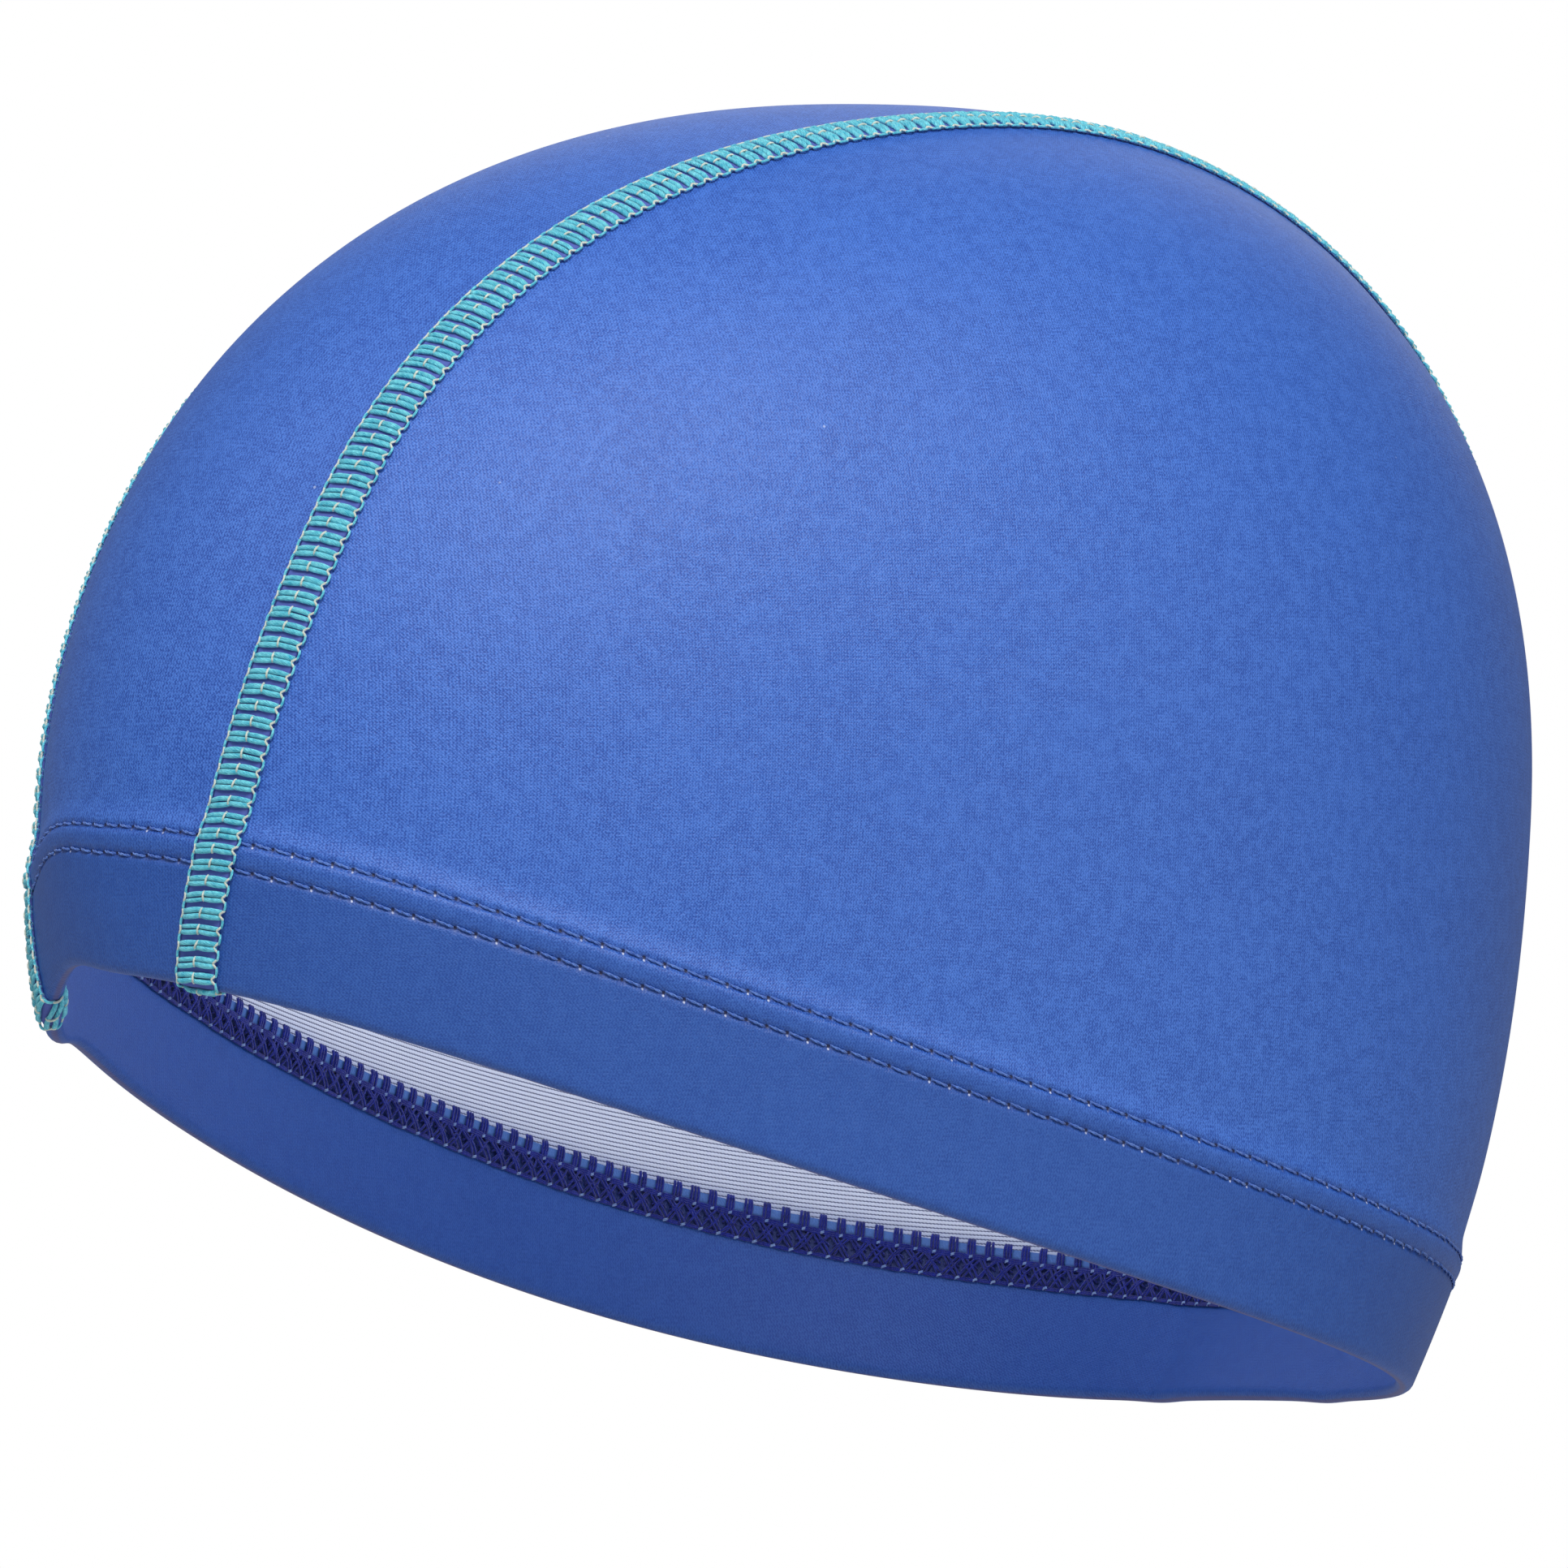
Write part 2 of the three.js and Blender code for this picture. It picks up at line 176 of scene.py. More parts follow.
def crossing(value, low, high, halvings=32):
    """Halves each interval until value changes sign: it is below zero at low and above it at high."""
    low, high = (np.array(edge, float) for edge in np.broadcast_arrays(low, high))
    for _ in range(halvings):
        middle = (low + high) / 2
        below = value(middle) < 0
        low = np.where(below, middle, low)
        high = np.where(below, high, middle)
    return (low + high) / 2


def plan_series():
    """Even cosine series through the plan radii, worked on 1 / radius squared."""
    last = len(PLAN_RADII) - 1
    orders = np.arange(last + 1)
    halved = np.where((orders == 0) | (orders == last), 0.5, 1.0)
    waves = np.cos(np.outer(orders, orders) * np.pi / last)
    return halved * (2 / last) * (waves @ (halved / PLAN_RADII**2))


SERIES = plan_series()


def dome_point(way):
    """Point of the outer face in a direction from the dome's centre:
    |flat / plan radius|^n + |height / depth|^n = 1, then leant back in proportion to its height."""
    turn = np.arctan2(way[..., 0], -way[..., 1])
    inverse_square = np.cos(turn[..., None] * np.arange(len(SERIES))) @ SERIES
    end_depth = np.where(way[..., 1] < 0, FOREHEAD_DEPTH, NAPE_DEPTH)
    depth = np.where(way[..., 2] > 0, CROWN_RISE, mix(end_depth, EAR_DEPTH, np.sin(turn) ** 2))
    flat = np.hypot(way[..., 0], way[..., 1]) * np.sqrt(inverse_square)
    reach = (flat**FULLNESS + (np.abs(way[..., 2]) / depth) ** FULLNESS) ** (-1 / FULLNESS)
    point = way * reach[..., None]
    point[..., 1] += LEAN * point[..., 2]
    return point


def dome_normal(way):
    """Outward normal of the outer face, from four neighbouring points."""
    aside = np.cross(np.array([0.0, 0.0, 1.0]), way)
    aside[length(aside) < NORMAL_STEP] = [1.0, 0.0, 0.0]
    aside = unit(aside)
    along = np.cross(way, aside)
    chords = [
        dome_point(unit(way + side * NORMAL_STEP)) - dome_point(unit(way - side * NORMAL_STEP))
        for side in (aside, along)
    ]
    return unit(np.cross(*chords))


def upright(turn, climb):
    """Direction from its turn off the forehead and its angle above the level."""
    flat = np.cos(climb)
    return np.stack([np.sin(turn) * flat, -np.cos(turn) * flat, np.sin(climb)], axis=-1)


def lengthwise(along, aside):
    """Direction from its angle along the crown, forehead to nape, and its angle off to the side."""
    flat = np.cos(aside)
    return np.stack([np.sin(aside) + 0 * along, -np.cos(along) * flat, np.sin(along) * flat], axis=-1)


def turn_of(way):
    """Turn of a direction off the forehead, seen from above."""
    return np.arctan2(way[..., 0], -way[..., 1])


def over_hem(way):
    """Height of the dome's point above the level of the hem edge at its place along Y."""
    point = dome_point(way)
    share = (point[..., 1] + PLAN_RADII[0]) / HEM_LENGTH
    hem = HEM_FRONT - HEM_SLOPE * HEM_LENGTH * share - HEM_SAG * 4 * share * (1 - share)
    return point[..., 2] - hem


def hem_climb(turn):
    """Angle above the level at which each turn's upright line meets the hem edge."""
    lowest = np.radians(-60) + 0 * turn
    return crossing(lambda climb: over_hem(upright(turn, climb)), lowest, np.radians(30))


def hem_measure(turn):
    """For each turn, the hem's own angle and a function that measures square to the edge from there."""
    low = hem_climb(turn)
    foot = dome_point(upright(turn, low))
    beside = turn + EDGE_STEP
    edge = unit(dome_point(upright(beside, hem_climb(beside))) - foot)
    rise = unit(dome_point(upright(turn, low + RISE_STEP)) - foot)
    square = length(np.cross(rise, edge))

    def measure(climb):
        return length(dome_point(upright(turn, climb)) - foot) * square * np.sign(climb - low)

    return low, measure


def above_hem(turn, distance):
    """Direction of the point a distance above the folded edge on each turn's upright line."""
    low, measure = hem_measure(turn)
    return upright(turn, crossing(lambda climb: measure(climb) - distance, low - 0.2, low + 0.8))


def distance_of(way):
    """Distance of any direction's point from the folded edge."""
    _, measure = hem_measure(turn_of(way))
    return measure(np.arcsin(np.clip(way[..., 2], -1, 1)))


def beside_seam(way):
    """How far a direction's point lies outside the centre strip, which is narrower near the hem."""
    share = np.maximum(0, 1 - np.maximum(0, over_hem(way)) / NARROWING_HEIGHT)
    half = STRIP_HALF - STRIP_NARROWING * share**NARROWING_POWER
    return np.abs(dome_point(way)[..., 0]) - half


def seam_way(along, shift=0.0):
    """Direction of the seam at an angle along it, or of a line a shift outside it."""

    def beyond(aside):
        return beside_seam(lengthwise(along, aside)) - shift

    return lengthwise(along, crossing(beyond, 0 * along, np.radians(70)))


def seam_angle(distance, end, shift=0.0):
    """Angle along the seam at a distance from the front or the back hem edge."""

    def away(along):
        return distance_of(seam_way(along, shift)) - distance

    if end == "front":
        return crossing(away, np.radians(-25) + 0 * distance, np.radians(40))
    return -crossing(lambda along: away(-along), np.radians(-250) + 0 * distance, np.radians(-180))


def seam_turn(distance, end, shift):
    """Turn of the seam's line at a distance from the front or the back hem edge."""
    return turn_of(seam_way(seam_angle(distance, end, shift), shift))


def hem_counts():
    """Turns all round and the stitch count reached at each, by length along the hem's rows."""
    turns = np.linspace(-np.pi, np.pi, 721)
    points = dome_point(above_hem(turns, (LOW_ROW + HIGH_ROW) / 2))
    run = np.concatenate([[0], np.cumsum(length(np.diff(points, axis=0)))])
    stitches = round(run[-1] / HEM_PITCH)
    return turns, run / run[-1] * stitches, stitches


HEM_TURNS, HEM_COUNTS, HEM_STITCHES = hem_counts()


def count_at(turn):
    """Stitch count at a turn. Past half a turn it goes on counting, so that no panel meets a jump."""
    laps = np.floor((turn + np.pi) / (2 * np.pi))
    return np.interp(turn - laps * 2 * np.pi, HEM_TURNS, HEM_COUNTS) + laps * HEM_STITCHES


def turn_at(count):
    """Turn at which a stitch count is reached."""
    return np.interp(np.mod(count, HEM_STITCHES), HEM_COUNTS, HEM_TURNS)


def band_swell(distance):
    """How far the doubled hem stands off the dome: it swells towards its stitches,
    drops to the dome over the cut edge inside, and the cloth just above draws in."""
    fade = smooth((distance - SWELL_END) / SWELL_FADE)
    swell = (SWELL_GAIN * np.clip(distance / HIGH_ROW, 0, 1) - SWELL_SINK) * (1 - fade)
    drawn = DRAWN_IN * fade * bell(np.maximum(distance, DRAWN_LEVEL), DRAWN_LEVEL, DRAWN_WIDTH)
    return swell - drawn


def hem_relief(distance):
    """Swell of the outer face with the groove of each stitch row and the ridge between them."""
    ridge = HEM_RIDGE * bell(distance, HEM_RIDGE_LEVEL, HEM_RIDGE_WIDTH)
    grooves = LOW_GROOVE * bell(distance, LOW_ROW, GROOVE_WIDTH)
    grooves = grooves + HIGH_GROOVE * bell(distance, HIGH_ROW, GROOVE_WIDTH)
    return band_swell(distance) + ridge - grooves


def dressed_point(way, depth):
    """Point a depth below the dome's face along its normal. Depths below zero stand proud.
    The cloth rises a little into each seam's bulk, as a bell across the seam."""
    ridge = SEAM_RIDGE * bell(beside_seam(way), 0, SEAM_RIDGE_WIDTH)
    return dome_point(way) - dome_normal(way) * (np.asarray(depth) - ridge)[..., None]


def graded(low, high, count, marks, width, gain):
    """Even shares of a density that rises near each mark: count + 1 values from low to high."""
    fine = np.linspace(low, high, 2000)
    density = 1 + gain * sum(bell(fine, mark, width) for mark in marks)
    total = np.concatenate([[0], np.cumsum((density[1:] + density[:-1]) / 2)])
    return np.interp(np.linspace(0, total[-1], count + 1), total, fine)


def hem_section(outside_rows=56, fold_rows=8, facing_rows=14):
    """The hem's cloth from the band down, round the fold and up inside to its cut edge.
    Each row gives, for face and back, a rise above the fold, a depth and the row's place
    on the cloth: plus outside and minus inside."""
    rise = graded(FOLD_OUTER, BAND_HEIGHT, outside_rows, (LOW_ROW, HIGH_ROW), 1.0, 3.0)[::-1][1:-1]
    face = [np.stack([rise, -hem_relief(rise), rise], -1)]
    back = [np.stack([rise, WALL - band_swell(rise), rise], -1)]
    turn = np.pi * np.linspace(0, 1, fold_rows + 1)
    place = FOLD_OUTER * np.cos(turn)
    for rows, radius in ((face, FOLD_OUTER), (back, FOLD_INNER)):
        up = FOLD_OUTER - radius * np.sin(turn)
        rows.append(np.stack([up, FOLD_OUTER - radius * np.cos(turn) - band_swell(up), place], -1))
    rise = np.linspace(FOLD_OUTER, FACING_HEIGHT, facing_rows + 1)[1:]
    swell = band_swell(rise)
    face.append(np.stack([rise, HEM_THICKNESS - swell, -rise], -1))
    back.append(np.stack([rise, HEM_THICKNESS - WALL - swell, -rise], -1))
    return np.concatenate(face), np.concatenate(back)


def hem_layer(section, turns_at):
    """Points, directions and marks of one face of the hem: turns_at gives each rise's row of turns."""
    rise, depth, place = (column[:, None] for column in section.T)
    turns = turns_at(section[:, 0])
    ways = above_hem(turns, rise + 0 * turns)
    marks = np.stack([count_at(turns), place + 0 * turns], -1)
    return dressed_point(ways, depth + 0 * turns), ways, marks


def crown_layer(ways, depth):
    """Points and marks of cloth above the band, drawn in a little where it nears the hem."""
    distance = distance_of(ways)
    marks = np.stack([count_at(continued_turn(ways)), distance], -1)
    return dressed_point(ways, depth - band_swell(distance)), marks


def continued_turn(ways):
    """Turn of each direction, counted on past half a turn along a row that crosses the nape."""
    return np.unwrap(turn_of(ways), axis=1)


def ear_grain(ways):
    """Cloth coordinates in millimetres: the angle off the ear's axis, laid out flat round it."""
    angle = np.arccos(np.clip(ways[..., 0], -1, 1))
    return unit(ways[..., 1:]) * (angle * EAR_RADIUS)[..., None]


def crown_grain(ways):
    """Cloth coordinates in millimetres: across the strip, and along it over the crown."""
    along = np.arctan2(ways[..., 2], -ways[..., 1])
    along = np.where(along < np.radians(-90), along + 2 * np.pi, along)
    return np.stack([np.arcsin(ways[..., 0]) * EAR_RADIUS, along * CROWN_RADIUS], -1)


def side_panel_layers(columns=300, rows=92):
    """Face and back of the right side panel: a four-sided patch above the band, blended from its
    borders in a plane that looks along +X (stereographic), then the rows of the hem."""
    shift = EDGE_GAP / 2
    share = np.linspace(0, 1, columns + 1)

    def plane(way):
        return way[..., 1:] / (1 + way[..., :1])

    def lift(flat):
        square = (flat**2).sum(-1, keepdims=True)
        return np.concatenate([1 - square, 2 * flat], -1) / (1 + square)

    def turns_at(rise):
        first, last = (seam_turn(rise, end, shift) for end in ("front", "back"))
        return mix(first[:, None], last[:, None], share)

    def seam_line(first, last, shares):
        return plane(seam_way(mix(first, last, shares), shift))

    level = np.array([BAND_HEIGHT])
    front, back = (seam_angle(level, end, shift)[0] for end in ("front", "back"))
    bottom_turns = turns_at(level)[0]
    bottom = plane(above_hem(bottom_turns, BAND_HEIGHT + 0 * bottom_turns))[None]
    top = seam_line(FRONT_CORNER, BACK_CORNER, share)[None]
    up = np.linspace(1, 0, rows + 1)[:, None, None]
    left = seam_line(front, FRONT_CORNER, up[:, 0, 0])[:, None]
    right = seam_line(back, BACK_CORNER, up[:, 0, 0])[:, None]
    across = share[None, :, None]
    patch = bottom * (1 - up) + top * up + left * (1 - across) + right * across
    patch -= (bottom[:, :1] * (1 - across) + bottom[:, -1:] * across) * (1 - up)
    patch -= (top[:, :1] * (1 - across) + top[:, -1:] * across) * up
    return layers(lift(patch), [turns_at], ear_grain)


def centre_panel_layers(columns=96, rows=196):
    """Face and back of the centre strip: rows from seam to seam, front hem over crown to back hem."""
    shift = -EDGE_GAP / 2
    across = np.linspace(-1, 1, columns + 1)

    def front_turns(rise):
        return seam_turn(rise, "front", shift)[:, None] * across

    def back_turns(rise):
        edge = np.pi - seam_turn(rise, "back", shift)
        return np.pi - edge[:, None] * across

    def angles(turns):
        way = above_hem(turns, BAND_HEIGHT + 0 * turns)
        along = np.arctan2(way[..., 2], -way[..., 1])
        return np.where(along < np.radians(-90), along + 2 * np.pi, along)

    level = np.array([BAND_HEIGHT])
    front, back = angles(front_turns(level)), angles(back_turns(level))
    share = np.linspace(0, 1, rows + 1)[:, None]
    edge = seam_way(mix(front[:, 0], back[:, 0], share[:, 0]), shift)
    aside = np.arcsin(edge[:, :1]) * across
    return layers(lengthwise(mix(front, back, share), aside), [front_turns, back_turns], crown_grain)


def layers(crown, hems, grain):
    """Puts a panel's crown rows and its one or two hems together, face and back.
    Each layer is its points, its cloth coordinates and its hem marks."""
    made = []
    for section, depth in zip(hem_section(), (0.0, WALL)):
        points, marks = crown_layer(crown, depth)
        parts = [(points, grain(crown), marks)]
        for turns_at in hems[::-1]:
            points, ways, marks = hem_layer(section, turns_at)
            part = (points, grain(ways), marks)
            if turns_at is hems[-1]:
                parts.append(part)
            else:
                parts.insert(0, tuple(array[::-1] for array in part))
        made.append(tuple(np.concatenate(arrays) for arrays in zip(*parts)))
    return made


def grid_faces(rows, columns, start=0):
    """Four-sided faces between neighbouring rows and columns of points numbered from start."""
    corner = start + (np.arange(rows - 1)[:, None] * columns + np.arange(columns - 1)[None]).ravel()
    return np.stack([corner, corner + 1, corner + columns + 1, corner + columns], -1)


def border(rows, columns, start):
    """Numbers of the points once round a grid's edge."""
    number = start + np.arange(rows * columns).reshape(rows, columns)
    return np.concatenate([number[0, :-1], number[:-1, -1], number[-1, :0:-1], number[:0:-1, 0]])


def worn_askew(points):
    """The hem as it sits in the picture: drawn down at the left front seam and up just beside it,
    as two bells across, fading out a little way up the forehead and towards the ear."""
    front = smooth((-points[:, 1] - ASKEW_FRONT) / ASKEW_FADE)
    low = 1 - smooth((points[:, 2] - HEM_FRONT) / ASKEW_HEIGHT)
    rise = ASKEW_RISE * bell(points[:, 0], ASKEW_RISE_AT, ASKEW_WIDTH)
    shift = rise - ASKEW_DROP * bell(points[:, 0], ASKEW_DROP_AT, ASKEW_WIDTH)
    return points + np.stack([0 * shift, 0 * shift, front * low * shift], -1)


def new_object(name, points, faces, materials, uv):
    """Mesh object from points in millimetres. faces is a list of (index array, material number);
    uv maps a layer's name to one pair a point. Its place is in its mesh."""
    mesh = bpy.data.meshes.new(name)
    mesh.vertices.add(len(points))
    mesh.vertices.foreach_set("co", ((worn_askew(points) - ORIGIN) * MM).astype(np.float32).ravel())
    corners = np.concatenate([array.ravel() for array, _ in faces])
    sizes = np.concatenate([np.full(len(array), array.shape[1]) for array, _ in faces])
    slots = np.concatenate([np.full(len(array), slot) for array, slot in faces])
    mesh.loops.add(len(corners))
    mesh.loops.foreach_set("vertex_index", corners.astype(np.int32))
    mesh.polygons.add(len(sizes))
    mesh.polygons.foreach_set("loop_start", (np.cumsum(sizes) - sizes).astype(np.int32))
    mesh.polygons.foreach_set("material_index", slots.astype(np.int32))
    mesh.polygons.foreach_set("use_smooth", np.ones(len(sizes), bool))
    mesh.update(calc_edges=True)
    for layer, pairs in uv.items():
        mesh.uv_layers.new(name=layer).data.foreach_set("uv", pairs[corners].astype(np.float32).ravel())
    for material in materials:
        mesh.materials.append(material)
    piece = bpy.data.objects.new(name, mesh)
    bpy.context.scene.collection.objects.link(piece)
    return piece


def cloth_object(name, face, back, materials, flip=False):
    """Closed cloth: a fine grid for the face, one of half its rows and columns for the back,
    and a rim that joins two of the face's edges to each of the back's. flip turns its faces over,
    for a grid whose rows run the other way round."""
    back = tuple(array[::2, ::2] for array in back)
    (rows, columns), (few_rows, few_columns) = face[0].shape[:2], back[0].shape[:2]
    points, cloth, hem = (
        np.concatenate([fine.reshape(-1, fine.shape[-1]), coarse.reshape(-1, coarse.shape[-1])])
        for fine, coarse in zip(face, back)
    )
    start = rows * columns
    outer = border(rows, columns, 0)
    inner = border(few_rows, few_columns, start)
    first, middle, last = outer[::2], outer[1::2], np.roll(outer[::2], -1)
    under = np.roll(inner, -1)
    rim = np.concatenate([
        np.stack([first, inner, middle], -1),
        np.stack([middle, inner, under], -1),
        np.stack([middle, under, last], -1),
    ])
    face_quads = grid_faces(rows, columns)
    back_quads = grid_faces(few_rows, few_columns, start)[:, ::-1]
    quads = [(face_quads, 0), (back_quads, 1), (rim, 0)]
    if flip:
        quads = [(array[:, ::-1], slot) for array, slot in quads]
    piece = new_object(name, points, quads, materials, {"cloth": cloth, "hem": hem})
    piece.data.set_sharp_from_angle(angle=np.radians(50))
    return piece


def tube_faces(threads, stations, sides):
    """Faces along closed tubes whose rings of points are numbered in order, and their end caps."""
    number = np.arange(threads * stations * sides).reshape(threads, stations, sides)
    after = np.roll(number, -1, axis=2)
    quads = np.stack([number[:, :-1], after[:, :-1], after[:, 1:], number[:, 1:]], -1).reshape(-1, 4)
    return quads, np.concatenate([number[:, 0, ::-1], number[:, -1]])


def thread_tubes(paths, outward, radius, sides):
    """Closed round threads: a ring of points at every station, square to the thread's run, each
    with its length along the thread and its place across it. paths and outward are threads by
    stations by 3."""
    radius = np.broadcast_to(radius, paths.shape[:2])
    run = unit(np.gradient(paths, axis=1))
    side = unit(np.cross(outward, run))
    lift = np.cross(run, side)
    turn = 2 * np.pi * np.arange(sides) / sides
    ring = side[:, :, None] * np.cos(turn)[:, None] + lift[:, :, None] * np.sin(turn)[:, None]
    points = paths[:, :, None] + ring * radius[:, :, None, None]
    steps = length(np.diff(paths, axis=1))
    along = np.pad(np.cumsum(steps, axis=1), ((0, 0), (1, 0))) + 7.0 * np.arange(len(paths))[:, None]
    aside = radius[:, :, None] * np.cos(turn)
    weave = np.stack([along[:, :, None] + 0 * aside, aside], -1)
    return points.reshape(-1, 3), weave.reshape(-1, 2), *tube_faces(*paths.shape[:2], sides)


def gather(bundles):
    """Joins thread bundles, each (points, weave, quads, caps, material number), into one set of
    points, thread coordinates and faces."""
    points, weaves, faces, start = [], [], [], 0
    for place, weave, quads, caps, slot in bundles:
        points.append(place)
        weaves.append(weave)
        faces += [(quads + start, slot), (caps + start, slot)]
        start += len(place)
    return np.concatenate(points), {"thread": np.concatenate(weaves)}, faces


def dress(piece, node):
    """Puts a piece on the cap's one body, in the place of its node."""
    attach(piece, "root")
    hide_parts(node)


# Flat seams

def seam_stations():
    """Middle line of the right seam: up the inside of the front facing, round its fold, over the
    crown and down to just above the nape's fold. Gives the cloth's points, the way out of it and
    the way across the seam."""
    front_back = []
    for end in ("front", "back"):
        inside = np.linspace(SEAM_END, FOLD_OUTER, 14)[:-1] if end == "front" else np.array([])
        turn = np.pi * (1 - np.linspace(0, 1, 13)) if end == "front" else np.array([])
        outside = np.linspace(FOLD_OUTER, BAND_HEIGHT, 60)[1:-1]
        rise = np.concatenate([inside, FOLD_OUTER * (1 - np.sin(turn)), outside])
        round_fold = FOLD_OUTER * (1 - np.cos(turn))
        depth = np.concatenate([HEM_THICKNESS + 0 * inside, round_fold, 0 * outside])
        turn_in = np.concatenate([np.pi + 0 * inside, turn, 0 * outside])
        dip = np.where(turn_in > 0, 0, SEAM_DIP * (hem_relief(rise) - band_swell(rise)))
        way = seam_way(seam_angle(rise, end))
        turn_here = turn_of(way)
        beside = [dome_point(above_hem(turn_here + step, rise)) for step in (EDGE_STEP, -EDGE_STEP)]
        across = unit(beside[0] - beside[1])
        across *= np.sign(across[:, :1])
        out = dome_normal(way)
        up = np.cross(out, across)
        up *= np.sign(up[:, 2:])
        facing = out * np.cos(turn_in)[:, None] - up * np.sin(turn_in)[:, None]
        point = dressed_point(way, depth - band_swell(rise) - dip)
        front_back.append((point, unit(facing), across))
    level = np.array([BAND_HEIGHT])
    front, back = (seam_angle(level, end)[0] for end in ("front", "back"))
    along = np.linspace(front, back, 260)
    way = seam_way(along)
    out = dome_normal(way)
    run = dome_point(seam_way(along + EDGE_STEP)) - dome_point(seam_way(along - EDGE_STEP))
    crown = (dressed_point(way, -band_swell(distance_of(way))), out, unit(np.cross(run, out)))
    ends = [front_back[0], crown, tuple(array[::-1] for array in front_back[1])]
    return tuple(np.concatenate(arrays) for arrays in zip(*ends))


class SeamPath:
    """The seam's middle line by its running length, which gives any place on or beside the seam."""

    def __init__(self):
        self.point, self.out, self.across = seam_stations()
        self.run = np.concatenate([[0], np.cumsum(length(np.diff(self.point, axis=0)))])

    def vectors(self, table, run):
        """A table's vectors at running lengths, on straight lines between its rows."""
        return np.stack([np.interp(run, self.run, table[:, axis]) for axis in range(3)], -1)

    def place(self, aside, run, height):
        """Point and way out at a distance across, along and above the cloth."""
        aside, run, height = np.broadcast_arrays(aside, run, height)
        out = unit(self.vectors(self.out, run))
        across = unit(self.vectors(self.across, run))
        point = self.vectors(self.point, run) + across * aside[..., None] + out * height[..., None]
        return point, out


SEAM = SeamPath()


def seam_bundles():
    """Threads of one flat seam, stitch by stitch: on each side of its middle a fat double strand
    from the edge to the middle, a pale dash down the middle, and along both edges a thread that
    is pale along the strand's end and turquoise where it loops round the gap."""
    count = int(SEAM.run[-1] / SEAM_PITCH) - 1
    start = (SEAM.run[-1] - count * SEAM_PITCH) / 2
    stitch = start + SEAM_PITCH * (np.arange(count) + 0.5)
    bundles = []

    def tubes(aside, run, height, radius, sides, slot):
        points, out = SEAM.place(aside, run, height)
        bundles.append((*thread_tubes(points, out, radius, sides), slot))

    # Two soft strands a side, each from the edge to just past the middle.
    runs = np.linspace(0, 1, 7)
    reach = mix(2.62, -0.08, runs)
    rise = 0.1 + 0.4 * smooth(runs / 0.3) - 0.06 * smooth((runs - 0.7) / 0.3)
    thick = 0.3 + 0.05 * np.sin(np.pi * runs)
    for side in (-1, 1):
        wander = rng.normal(0, 0.04, (count, 1))
        tilt = rng.normal(EDGE_LEADS[side] / 2.6, 0.025, (count, 1))
        for ply in (-1, 1):
            sway = ply * (0.33 + 0.05 * np.sin(np.pi * runs)) * rng.normal(1.0, 0.07, (count, 1))
            run = stitch[:, None] + wander + sway + tilt * reach
            radius = thick * rng.normal(1.0, 0.07, (count, 1))
            tubes(side * reach, run, rise, radius, 7, STRAND)

    # Pale dash down the middle, over the strands' meeting ends.
    runs = np.linspace(0, 1, 6)
    lean = rng.normal(-0.02, 0.07, (count, 1))
    run = stitch[:, None] + mix(-0.6, 0.6, runs) + rng.normal(0, 0.05, (count, 1))
    tubes(mix(lean, -lean, runs), run, 0.5 + 0.34 * np.sin(np.pi * runs) ** 0.7, 0.14, 6, PALE)

    # Edge threads: the left one nearly straight, the right one in scallops.
    for side, depth in ((-1, 0.07), (1, 0.26)):
        pale = np.linspace(-EDGE_RUN, EDGE_RUN, 6)
        aside = side * (SEAM_HALF - depth + 2 * depth * smooth((np.abs(pale) - 0.1) / 0.5))
        aside = aside + rng.normal(0, 0.03, (count, 1))
        run = stitch[:, None] + EDGE_LEADS[side] + pale
        tubes(aside, run, 0.36 - 0.12 * (pale / EDGE_RUN) ** 2, 0.15, 6, PALE)
        loop = np.linspace(-EDGE_RUN, EDGE_RUN, 7)
        arch = np.cos(np.pi * loop / (2 * EDGE_RUN))
        aside = side * (SEAM_HALF + depth * (0.6 + 0.7 * arch))
        run = stitch[:, None] + SEAM_PITCH / 2 + EDGE_LEADS[side] + loop
        tubes(aside, run, 0.2 + 0.1 * arch, 0.17, 6, STRAND)
    return bundles


def seam_base():
    """Low strip of cloth under the threads: an arched section swept along the whole seam."""
    aside = np.array([-2.7, -2.4, -1.2, 0.0, 1.2, 2.4, 2.7, 1.5, -1.5])
    height = np.array([0.0, 0.16, 0.24, 0.2, 0.24, 0.16, 0.0, -0.3, -0.3])
    run = np.linspace(SEAM.run[0] + 0.3, SEAM.run[-1] - 0.3, 380)
    point, _ = SEAM.place(aside, run[:, None], height)
    weave = np.stack(np.broadcast_arrays(run[:, None], aside), -1)
    return point.reshape(-1, 3), weave.reshape(-1, 2), *tube_faces(1, *point.shape[:2]), UNDER


# Hem stitches

def on_band(count, distance, height):
    """Point and way out on the hem's outer face, by stitch count, distance above the fold and height."""
    way = above_hem(turn_at(count), distance)
    return dressed_point(way, -(hem_relief(distance) + height)), dome_normal(way)


def on_facing(count, distance, height):
    """The same on the inside of the hem, where the way out of the cloth is into the cap."""
    way = above_hem(turn_at(count), distance)
    return dressed_point(way, HEM_THICKNESS - band_swell(distance) + height), -dome_normal(way)


